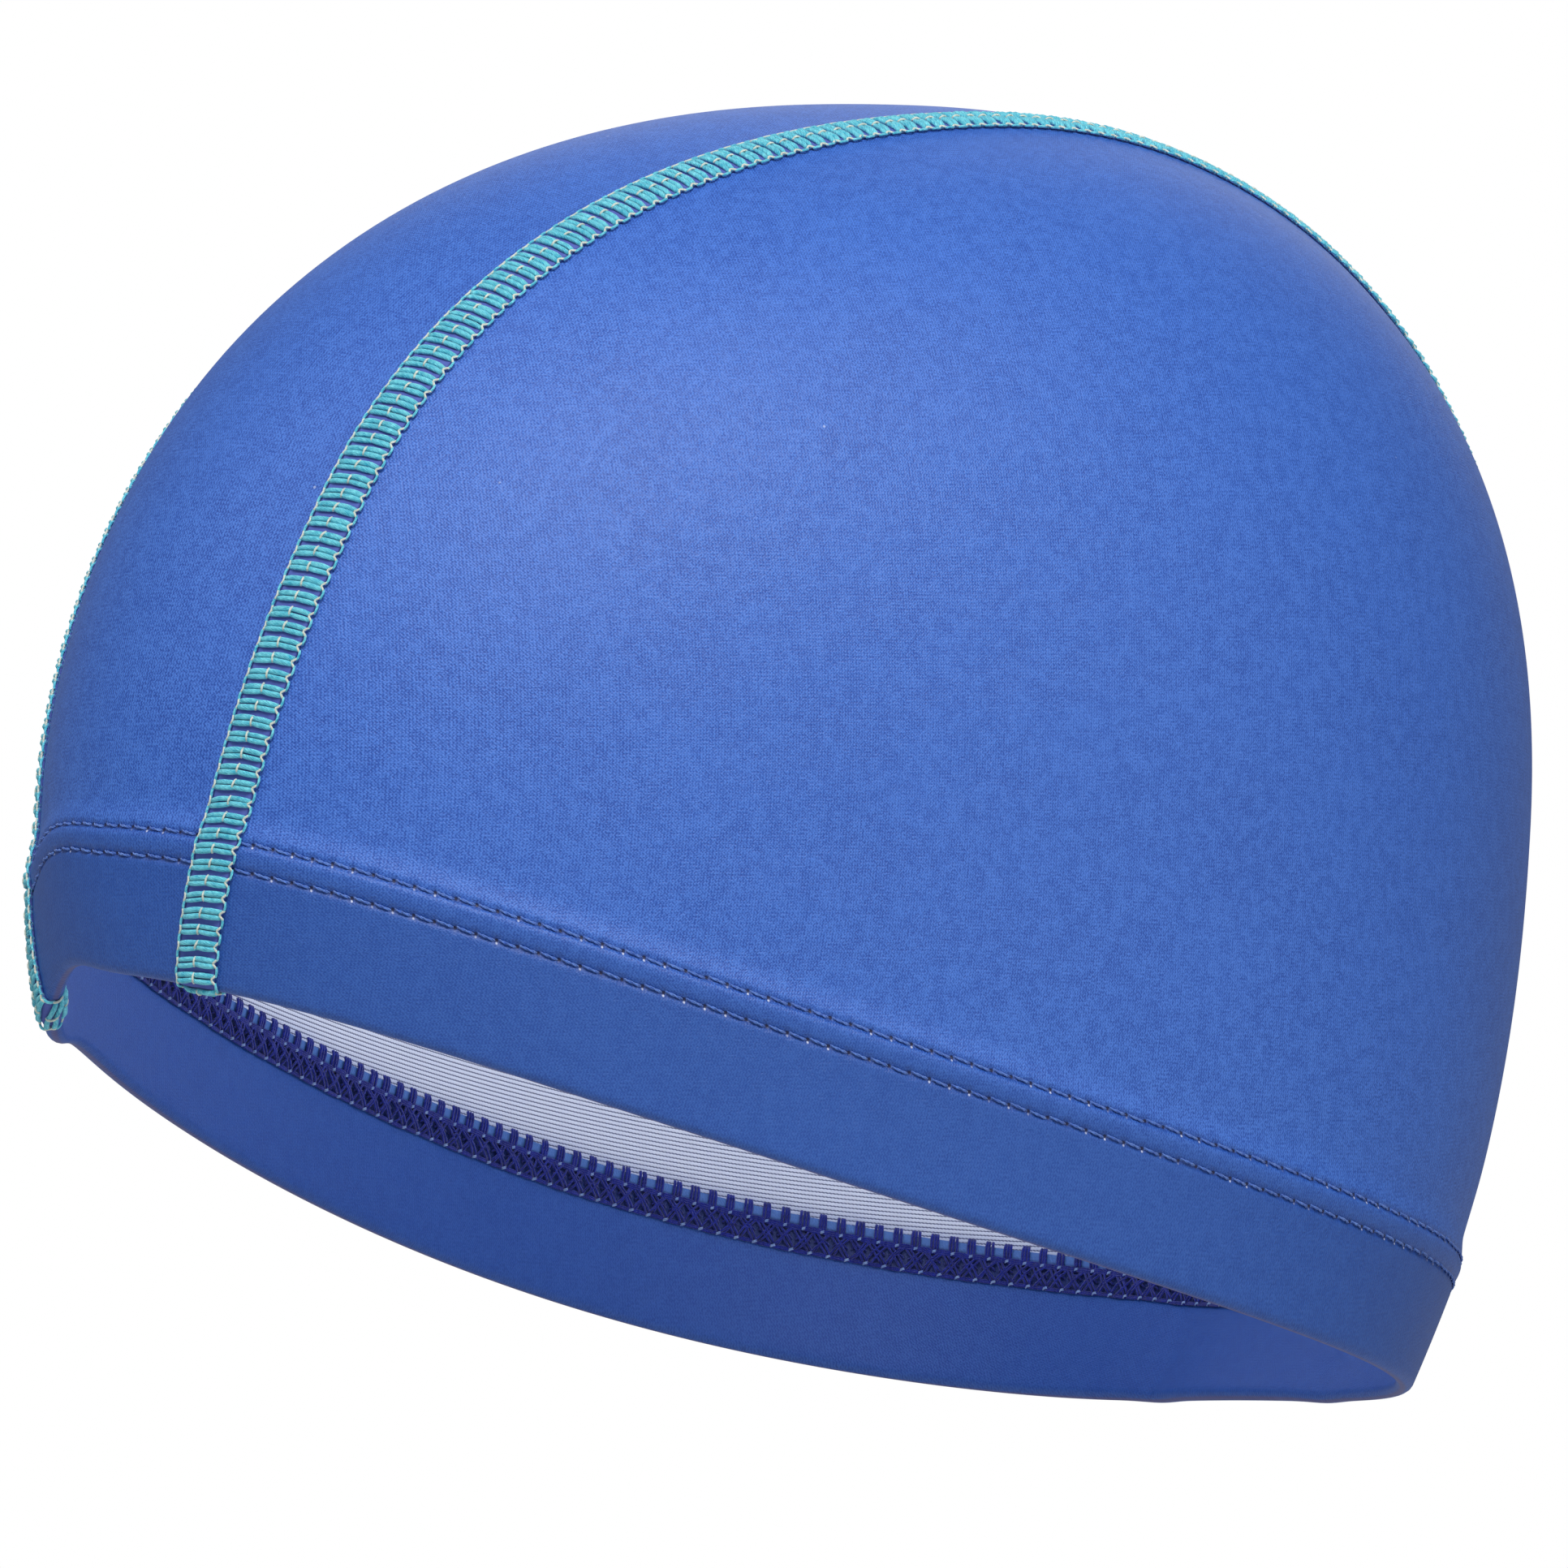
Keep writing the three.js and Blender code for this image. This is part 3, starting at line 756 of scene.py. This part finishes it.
def topstitch_bundles():
    """Outer stitches of the hem: two rows of short two-ply dashes, each from just past a needle
    hole down into the next one."""
    bundles = []
    number = np.arange(HEM_STITCHES)[:, None]
    runs = np.linspace(0, 1, 7)[None]
    for row in (LOW_ROW, HIGH_ROW):
        wander = rng.normal(0, 0.05, (HEM_STITCHES, 1))
        count = number + 0.1 + 0.82 * runs
        distance = row + wander + 0.13 - 0.22 * runs
        height = 0.3 * np.sin(np.pi * np.clip(runs * 1.05, 0, 1)) ** 0.6 - 0.05
        for ply in (-1, 1):
            twist = 2.5 * np.pi * runs + (ply - 1) * np.pi / 2
            points, out = on_band(count, distance + 0.085 * np.cos(twist), height + 0.07 * np.sin(twist))
            bundles.append((*thread_tubes(points, out, 0.105, 5), STRAND))
    return bundles


def cover_bundles():
    """Inner stitches of the hem: a chain line along each row, looped strands that cross between
    them, pale needle loops, and thick bars that bind the cut edge."""
    bundles = []
    number = np.arange(HEM_STITCHES)[:, None]

    def tubes(count, distance, height, radius, sides, slot):
        points, out = on_facing(*np.broadcast_arrays(count, distance, height))
        bundles.append((*thread_tubes(points, out, radius, sides), slot))

    runs = np.linspace(0, 1, 6)[None]
    jitter = rng.normal(0, 0.05, (HEM_STITCHES, 1))
    hump = np.sin(np.pi * runs)
    # Lower chain line: two strands a stitch that run into the next one.
    count = number + mix(-0.08, 1.08, runs)
    for place in (-0.13, 0.13):
        tubes(count, COVER_LOW + place * hump + jitter, 0.18 + 0.16 * hump, 0.17, 5, STRAND)
    # Upper chain line: three strands.
    count = number + 0.4 + mix(-0.1, 1.1, runs)
    for place in (-0.2, 0.0, 0.2):
        tubes(count, COVER_HIGH + place * (0.4 + hump) + jitter, 0.3 + 0.2 * hump, 0.16, 5, STRAND)
    # Strands that cross between the rows, each way twice.
    for spread in (-0.12, 0.12):
        for start, end in ((LOW_ROW, COVER_HIGH), (COVER_HIGH, LOW_ROW)):
            slack = rng.normal(0, 0.07, (HEM_STITCHES, 1))
            count = number + COVER_LEAD + spread + mix(-0.45, 0.45, runs) + slack * hump
            tubes(count, mix(start, end, runs) + slack, 0.3 + 0.42 * hump, 0.17, 5, STRAND)
    # Loose middle loops.
    slack = rng.normal(0, 0.12, (HEM_STITCHES, 1))
    count = number + 0.4 + mix(-0.4, 0.4, runs)
    tubes(count, 16.5 + slack + 0.5 * hump, 0.35 + 0.15 * hump, 0.15, 5, STRAND)
    # Pale needle loops on both rows.
    short = np.linspace(0, 1, 5)[None]
    bead = np.sin(np.pi * short)
    for row, lead in ((COVER_LOW, 0.0), (COVER_HIGH, COVER_LEAD)):
        for place in (-0.09, 0.09):
            count = number + lead + mix(-0.13, 0.13, short)
            tubes(count, row + place + 0.16 - 0.32 * short, 0.34 + 0.26 * bead, 0.085, 5, PALE)
    # Bars over the cut edge: three strands side by side.
    for place in (-0.14, 0.0, 0.14):
        slack = rng.normal(0, 0.02, (HEM_STITCHES, 1))
        count = number + COVER_LEAD + place * (1 + 0.2 * hump) + slack
        tubes(count, mix(BAR_FOOT, BAR_TOP, runs), 0.36 * hump**0.4 + 0.02, 0.21, 6, STRAND)
    return bundles


# Materials

def srgb(red, green, blue):
    """Linear colour from 8-bit screen values."""
    share = np.array([red, green, blue]) / 255
    linear = np.where(share <= 0.04045, share / 12.92, ((share + 0.055) / 1.055) ** 2.4)
    return (*(round(float(value), 4) for value in linear), 1.0)


class Nodes:
    """A material with its shader, and short ways to add and join nodes."""

    def __init__(self, name, **sockets):
        self.material = bpy.data.materials.new(name)
        self.material.use_nodes = True
        self.tree = self.material.node_tree
        self.shader = self.tree.nodes["Principled BSDF"]
        for socket, value in sockets.items():
            self.shader.inputs[socket.replace("_", " ")].default_value = value

    def add(self, kind, inputs=None, **settings):
        """New node of a kind, with its settings and what its inputs are given."""
        node = self.tree.nodes.new("ShaderNode" + kind)
        for name, value in settings.items():
            setattr(node, name, value)
        for name, value in (inputs or {}).items():
            self.put(node.inputs[name], value)
        return node

    def put(self, socket, value):
        """Joins a socket to another one, or sets it to a plain value."""
        if isinstance(value, bpy.types.NodeSocket):
            self.tree.links.new(value, socket)
        else:
            socket.default_value = value

    def math(self, operation, first, second=0.0):
        return self.add("Math", {0: first, 1: second}, operation=operation).outputs[0]

    def plus(self, first, second):
        return self.math("ADD", first, second)

    def minus(self, first, second):
        return self.math("SUBTRACT", first, second)

    def times(self, first, second):
        return self.math("MULTIPLY", first, second)

    def blend(self, share, first, second):
        """Colour from first to second by a share."""
        node = self.add("Mix", data_type="RGBA")
        self.put(node.inputs["Factor"], share)
        self.put(node.inputs["A"], first)
        self.put(node.inputs["B"], second)
        return node.outputs["Result"]

    def span(self, value, low, high, first=0.0, last=1.0):
        """Value stretched so that low gives first and high gives last, smoothly."""
        names = {"Value": value, "From Min": low, "From Max": high, "To Min": first, "To Max": last}
        return self.add("MapRange", names, interpolation_type="SMOOTHSTEP").outputs["Result"]

    def noise(self, vector, scale, detail=2.0, roughness=0.5):
        names = {"Vector": vector, "Scale": scale, "Detail": detail, "Roughness": roughness}
        return self.add("TexNoise", names).outputs["Fac"]

    def place(self):
        """Place on the piece in metres."""
        return self.add("TexCoord").outputs["Object"]

    def layer(self, name):
        """A UV layer as one vector and as its two values."""
        uv = self.add("UVMap", uv_map=name).outputs["UV"]
        split = self.add("SeparateXYZ", {"Vector": uv})
        return uv, split.outputs["X"], split.outputs["Y"]

    def bump(self, height, strength, distance, normal=None):
        names = {"Height": height, "Strength": strength, "Distance": distance}
        if normal is not None:
            names["Normal"] = normal
        return self.add("Bump", names).outputs["Normal"]

    def finish(self, color, normal):
        """The material, with its colour and its normal joined to the shader."""
        self.put(self.shader.inputs["Base Color"], color)
        self.put(self.shader.inputs["Normal"], normal)
        return self.material


def stitch_marks(nodes, count, place):
    """Needle holes at whole stitch counts on both rows, the dents along them with a groove just under
    each row, and a pale speck of the white knit below each hole, as three shares. The holes' and the
    dents' shares also paint shade: darker in the holes, round them and along the line under each row."""
    fraction = nodes.math("FRACT", nodes.plus(count, 0.5))
    phase = nodes.math("ABSOLUTE", nodes.minus(fraction, 0.5))
    along = nodes.math("POWER", nodes.times(phase, HEM_PITCH), 2.0)

    def from_hole(off):
        """Distance from the hole: root of the square along the row and the square across it."""
        return nodes.math("SQRT", nodes.plus(along, nodes.times(off, off)))

    holes, dents_and_painted_shade, specks = 0.0, 0.0, 0.0
    for row in (LOW_ROW, HIGH_ROW):
        off = nodes.minus(place, row)
        reach = from_hole(off)
        holes = nodes.plus(holes, nodes.span(reach, 0.12, 0.32, 1.0, 0.0))
        # Dents round each hole; this share also paints shade there.
        dents_and_painted_shade = nodes.plus(dents_and_painted_shade, nodes.span(reach, 0.2, 1.0, 0.6, 0.0))
        # A groove just under each row; its share also paints a shadow line below the stitches.
        under = nodes.math("ABSOLUTE", nodes.plus(off, 0.16))
        dents_and_painted_shade = nodes.plus(dents_and_painted_shade, nodes.span(under, 0.1, 0.42, 0.6, 0.0))
        spot = nodes.span(from_hole(nodes.plus(off, SPECK_DROP)), 0.06, 0.2, 0.9, 0.0)
        stitch = nodes.math("FLOOR", nodes.plus(count, 0.5 + row))
        chance = nodes.add("TexWhiteNoise", {"W": stitch}, noise_dimensions="1D").outputs["Value"]
        specks = nodes.plus(specks, nodes.times(spot, nodes.span(chance, 0.2, 0.9)))
    return holes, dents_and_painted_shade, specks


def coated_knit():
    """Blue coated knit: cloudy blue, fine upright knit ribs, lint, worn fold and stitch marks, with
    painted shade on the hem band, in the stitch marks and under the coverstitch inside.
    """
    nodes = Nodes("coated_knit_blue", Roughness=0.5, Specular_IOR_Level=0.5)
    place = nodes.place()
    uv, rib, course = nodes.layer("cloth")
    _, count, height = nodes.layer("hem")
    cloud = nodes.span(nodes.noise(place, 70.0, 3.0, 0.6), 0.32, 0.7)
    mottle = nodes.span(nodes.noise(place, 620.0, 3.0, 0.65), 0.3, 0.72)
    grain = nodes.noise(uv, 3.6, 1.0, 0.6)
    color = nodes.blend(cloud, srgb(22, 68, 158), srgb(27, 75, 166))
    loops = nodes.math("SINE", nodes.times(course, 2 * np.pi / COURSE_PITCH))
    zigzag = nodes.plus(nodes.times(rib, 2 * np.pi / RIB_PITCH), nodes.times(loops, 1.3))
    ribs = nodes.math("SINE", zigzag)
    knit = nodes.times(nodes.plus(ribs, nodes.times(loops, 0.2)), 0.22)
    knit = nodes.plus(knit, nodes.times(grain, 1.6))
    knit = nodes.plus(knit, nodes.times(mottle, 0.26))
    color = nodes.blend(nodes.span(knit, 0.45, 1.35), color, srgb(68, 118, 208))
    # Painted shade: the hem band outside and the facing inside are painted darker, for the shade on the
    # down-turned band and in the hollow.
    band_painted_shade = nodes.span(height, LOW_ROW - 1.0, HIGH_ROW + 2.0, 0.72, 0.0)
    color = nodes.blend(band_painted_shade, color, nodes.blend(0.86, color, srgb(18, 68, 146)))
    holes, dents_and_painted_shade, specks = stitch_marks(nodes, count, height)
    # Painted shade: darker round each needle hole and along the line under each row.
    color = nodes.blend(nodes.times(dents_and_painted_shade, 0.45), color, srgb(18, 44, 116))
    # Painted shade: each needle hole is painted nearly black-blue, for the shade inside it.
    color = nodes.blend(holes, color, srgb(12, 20, 66))
    color = nodes.blend(specks, color, srgb(205, 212, 235))
    fold = nodes.span(nodes.math("ABSOLUTE", nodes.minus(height, 0.1)), 0.15, 0.6, 0.6, 0.0)
    color = nodes.blend(fold, color, srgb(92, 80, 122))
    # Painted shade: the facing inside, from the lower coverstitch row up to the cut edge, is painted
    # dark navy for the shade under and between the coverstitch threads.
    color = nodes.blend(nodes.span(height, -15.4, -14.7, 0.75, 0.0), color, srgb(20, 30, 104))
    cut = nodes.span(height, -18.9, -18.2, 1.0, 0.0)
    color = nodes.blend(cut, color, srgb(84, 128, 202))
    speck = nodes.add("TexVoronoi", {"Vector": place, "Scale": 120.0}, feature="F1")
    lint = nodes.span(speck.outputs["Distance"], 0.016, 0.03, 0.5, 0.0)
    chance = nodes.add("SeparateColor", {"Color": speck.outputs["Color"]}).outputs["Red"]
    rare = nodes.math("GREATER_THAN", chance, 0.8)
    color = nodes.blend(nodes.times(lint, rare), color, srgb(190, 200, 225))
    relief = nodes.bump(knit, 0.6, 0.00008)
    relief = nodes.bump(nodes.noise(place, 160.0, 2.0, 0.5), 0.08, 0.0006, relief)
    dents = nodes.times(nodes.plus(dents_and_painted_shade, nodes.times(holes, 0.6)), -1.0)
    return nodes.finish(color, nodes.bump(dents, 0.5, 0.0002, relief))


def inner_knit():
    """White knit inside, with thin slate stripes that run nearly along the hem."""
    nodes = Nodes("inner_knit_white", Roughness=0.85, Specular_IOR_Level=0.2)
    place = nodes.place()
    _, count, height = nodes.layer("hem")
    run = nodes.times(count, HEM_PITCH)
    course = nodes.minus(height, nodes.times(run, STRIPE_SLANT))
    phase = nodes.math("FRACT", nodes.times(course, 1 / STRIPE_PITCH))
    off = nodes.math("ABSOLUTE", nodes.minus(phase, 0.5))
    dash = nodes.math("SINE", nodes.times(nodes.plus(run, course), 2 * np.pi / DASH_PITCH))
    stripe = nodes.span(nodes.plus(off, nodes.times(dash, 0.05)), 0.09, 0.19, 0.85, 0.0)
    cloud = nodes.noise(place, 90.0, 2.0, 0.5)
    ground = nodes.blend(cloud, srgb(230, 236, 252), srgb(240, 244, 254))
    color = nodes.blend(stripe, ground, srgb(58, 68, 116))
    return nodes.finish(color, nodes.bump(off, 0.5, 0.00015))


def thread(name, dark, light):
    """Soft spun thread: two tones in slanting fibres that run along it, with a little sheen."""
    nodes = Nodes(name, Roughness=0.8, Specular_IOR_Level=0.25, Sheen_Weight=0.25)
    _, along, across = nodes.layer("thread")
    slant = nodes.plus(nodes.times(across, 7.0), nodes.times(along, 2.4))
    drawn = nodes.add("CombineXYZ", {"X": nodes.times(along, 1.1), "Y": slant}).outputs["Vector"]
    fibre = nodes.span(nodes.noise(drawn, 1.6, 2.0, 0.6), 0.32, 0.68)
    tone = nodes.span(nodes.noise(nodes.place(), 900.0, 2.0, 0.6), 0.3, 0.7)
    share = nodes.plus(nodes.times(tone, 0.35), nodes.times(fibre, 0.65))
    return nodes.finish(nodes.blend(share, dark, light), nodes.bump(fibre, 0.8, 0.00009))


def shadow_cloth():
    """Blue cloth that shows between the seam's strands."""
    nodes = Nodes("seam_cloth_blue", Roughness=0.8, Specular_IOR_Level=0.2)
    tone = nodes.noise(nodes.place(), 1500.0, 2.0, 0.6)
    color = nodes.blend(tone, srgb(74, 90, 164), srgb(92, 106, 180))
    return nodes.finish(color, nodes.bump(tone, 0.4, 0.0001))


BLUE_KNIT = coated_knit()
WHITE_KNIT = inner_knit()
TURQUOISE = thread("thread_turquoise", srgb(18, 164, 198), srgb(138, 238, 250))
CREAM = thread("thread_cream", srgb(196, 214, 204), srgb(240, 240, 226))
NAVY = thread("thread_navy", srgb(4, 16, 100), srgb(30, 50, 172))
PALE_BLUE = thread("thread_pale_blue", srgb(112, 152, 222), srgb(178, 204, 242))
HEM_BLUE = thread("thread_hem_blue", srgb(48, 88, 182), srgb(104, 146, 224))
SEAM_CLOTH = shadow_cloth()


# Pieces

def mirrored(points):
    """Points on the other side of the middle plane."""
    return points * np.array([-1.0, 1.0, 1.0])


def turned_round(faces):
    """Faces with their corners in the other order, for a mirrored piece."""
    return [(array[:, ::-1], slot) for array, slot in faces]


def build_panels():
    """Cloth of both side panels, the left one mirrored, and of the centre strip."""
    face, back = side_panel_layers()
    for name, mirror in (("side_panel_right", False), ("side_panel_left", True)):
        sides = [(mirrored(points) if mirror else points, *rest) for points, *rest in (face, back)]
        piece = cloth_object(name + "_cloth", *sides, [BLUE_KNIT, WHITE_KNIT], flip=not mirror)
        dress(piece, name)
    piece = cloth_object("centre_panel_cloth", *centre_panel_layers(), [BLUE_KNIT, WHITE_KNIT])
    dress(piece, "centre_panel")


def build_seams():
    """Threads of the right seam, and of the left one mirrored."""
    points, weave, faces = gather([*seam_bundles(), seam_base()])
    materials = [TURQUOISE, CREAM, SEAM_CLOTH]
    for side, mirror in (("right", False), ("left", True)):
        name = "flatlock_seam_" + side
        place, turned = (mirrored(points), turned_round(faces)) if mirror else (points, faces)
        piece = new_object(name + "_threads", place, turned, materials, weave)
        dress(piece, name)


def build_hem_stitches():
    """Threads of the coverstitch inside and of the topstitches outside, which replace no node."""
    points, weave, faces = gather(cover_bundles())
    piece = new_object("hem_coverstitch_threads", points, faces, [NAVY, PALE_BLUE], weave)
    dress(piece, "hem_coverstitch")
    points, weave, faces = gather(topstitch_bundles())
    piece = new_object("hem_topstitch_threads", points, faces, [HEM_BLUE], weave)
    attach(piece, "root")


build_panels()
build_seams()
build_hem_stitches()


# Studio: the camera as fitted to the photograph, in degrees, millimetres and its pixels, and
# the strengths of the pale surroundings. The glow is seen by the camera and lights nothing.

CAMERA_TURN = np.radians(57.41)
CAMERA_CLIMB = np.radians(-2.6)
CAMERA_DISTANCE = 1500.0
PHOTO_SIZE = 1932
FOCAL_PIXELS = 14586.0
DOME_PIXEL = (1028.7, 1043.3)
CAP_MIDDLE = Vector((0, 0, -0.08))
WORLD_FILL = 0.25
FLOOR_LEVEL = -0.32
FLOOR_TONE = 0.62
FLOOR_GLOW = 0.52


def place_camera():
    """Camera at the photograph's angle, aimed where the middle of the picture falls."""
    back = upright(CAMERA_TURN, CAMERA_CLIMB)
    right = np.array([np.cos(CAMERA_TURN), np.sin(CAMERA_TURN), 0.0])
    up = np.cross(back, right)
    aside, below = ((PHOTO_SIZE / 2 - pixel) * CAMERA_DISTANCE / FOCAL_PIXELS for pixel in DOME_PIXEL)
    eye = back * CAMERA_DISTANCE
    aim = right * aside - up * below
    away = unit(eye - aim)
    right = unit(np.cross([0.0, 0.0, 1.0], away))
    up = np.cross(away, right)
    camera = bpy.data.objects.new("camera", bpy.data.cameras.new("camera"))
    camera.data.sensor_width = 36.0
    camera.data.lens = 36.0 * FOCAL_PIXELS / PHOTO_SIZE
    camera.data.clip_end = 20.0
    table = np.stack([right, up, away, (eye - ORIGIN) * MM], -1)
    camera.matrix_world = Matrix([*table.tolist(), [0, 0, 0, 1]])
    bpy.context.scene.collection.objects.link(camera)
    bpy.context.scene.camera = camera


def new_light(name, kind, place, power):
    """Light at a place in metres, itself unseen by the camera."""
    light = bpy.data.objects.new(name, bpy.data.lights.new(name, kind))
    light.data.energy = power
    light.location = place
    light.visible_camera = False
    bpy.context.scene.collection.objects.link(light)
    return light


def soft_light(name, place, size, power):
    """Square area light turned towards the middle of the cap."""
    light = new_light(name, "AREA", place, power)
    light.data.size = size
    light.rotation_euler = (CAP_MIDDLE - Vector(place)).to_track_quat("-Z", "Y").to_euler()


def inner_light(place, radius, power):
    """Small round light inside the cap: it fills the shade in the hollow, as pale walls would."""
    new_light("inner_light", "POINT", place, power).data.shadow_soft_size = radius


def build_studio():
    """Camera, a white world that lights weakly, a pale floor, and soft lights."""
    place_camera()
    world = bpy.data.worlds.new("studio_white")
    bpy.context.scene.world = world
    world.use_nodes = True
    tree = world.node_tree
    seen = tree.nodes.new("ShaderNodeBackground")
    seen.inputs["Color"].default_value = (1, 1, 1, 1)
    fill = tree.nodes["Background"]
    fill.inputs["Color"].default_value = (1, 1, 1, 1)
    fill.inputs["Strength"].default_value = WORLD_FILL
    path = tree.nodes.new("ShaderNodeLightPath")
    pick = tree.nodes.new("ShaderNodeMixShader")
    tree.links.new(path.outputs["Is Camera Ray"], pick.inputs["Fac"])
    tree.links.new(fill.outputs[0], pick.inputs[1])
    tree.links.new(seen.outputs[0], pick.inputs[2])
    tree.links.new(pick.outputs[0], tree.nodes["World Output"].inputs["Surface"])
    bpy.context.scene.view_settings.view_transform = "Standard"
    bpy.context.scene.view_settings.look = "None"
    floor_nodes = Nodes("floor_pale", Roughness=0.9, Emission_Color=(1, 1, 1, 1))
    floor_nodes.shader.inputs["Base Color"].default_value = (FLOOR_TONE, FLOOR_TONE, FLOOR_TONE, 1)
    seen_ray = floor_nodes.add("LightPath").outputs["Is Camera Ray"]
    glow = floor_nodes.times(seen_ray, FLOOR_GLOW)
    floor_nodes.put(floor_nodes.shader.inputs["Emission Strength"], glow)
    bpy.ops.mesh.primitive_plane_add(size=6, location=(0, 0, FLOOR_LEVEL))
    floor = bpy.context.object
    floor.name = "floor"
    floor.data.materials.append(floor_nodes.material)
    soft_light("key_light", (1.05, -0.65, 1.2), 0.8, 25.5)
    soft_light("left_light", (-0.3, -1.2, 1.1), 0.9, 4.6)
    soft_light("side_light", (1.6, 0.6, 0.35), 0.8, 3.8)
    soft_light("back_light", (-1.2, 1.0, 0.8), 1.2, 4)
    inner_light((0.02, -0.01, -0.07), 0.03, 0.094)


build_studio()
